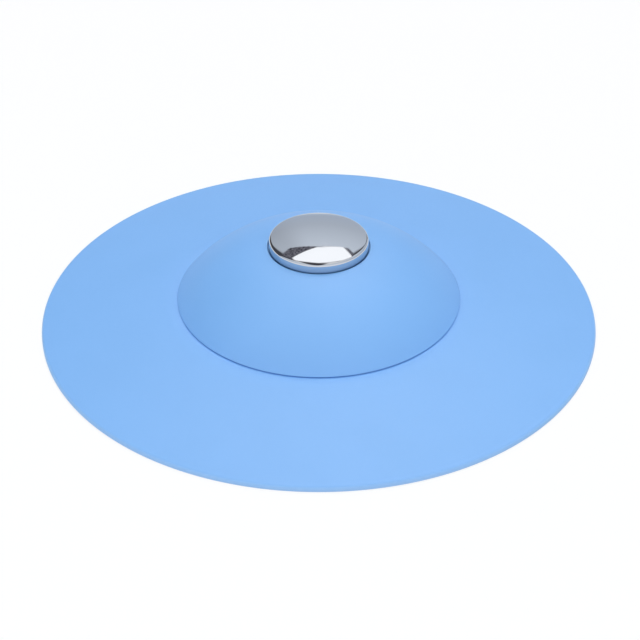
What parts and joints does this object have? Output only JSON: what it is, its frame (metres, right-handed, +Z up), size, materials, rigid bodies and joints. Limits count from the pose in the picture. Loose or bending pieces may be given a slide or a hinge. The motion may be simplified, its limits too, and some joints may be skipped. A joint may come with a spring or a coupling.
{
  "type": "drain stopper",
  "caption": "Low saucer-shaped drain stopper: soft flange, hair strainer and a soft dome that is pressed down to seal and drawn up by its chrome button to drain.",
  "frame": {"origin": "on the stopper's axis, in the plane of the rim's flat underside", "axes": "+Z up along the axis, out through the button; -Y towards the viewer of the picture"},
  "size_m": [0.15, 0.15, 0.0267],
  "materials": {
    "blue_rubber": "matt, light blue",
    "white_plastic": "moulded, fine matt",
    "acetal": "smooth",
    "steel": "plain stainless",
    "chrome": "polished",
    "seal_rubber": "matt black"
  },
  "bodies": {
    "base": {"sealing_flange": "blue_rubber", "strainer_plate": "white_plastic", "clamp_ring": "white_plastic", "clamp_screws": "steel", "guide_tower": "white_plastic", "guide_cap": "acetal", "detent_ring": "seal_rubber"},
    "dome": {"dome_shell": "blue_rubber", "dome_frame": "white_plastic", "button_shell": "chrome", "button_base": "white_plastic", "button_gasket": "seal_rubber", "stem": "acetal", "stop_washer": "acetal", "centre_screw": "steel"}
  },
  "joints": [
    {"name": "dome_lift", "type": "slide", "parent": "base", "child": "dome", "axis": [0, 0, 1], "range_m": [0, 0.007], "deforming": ["detent_ring"]}
  ]
}
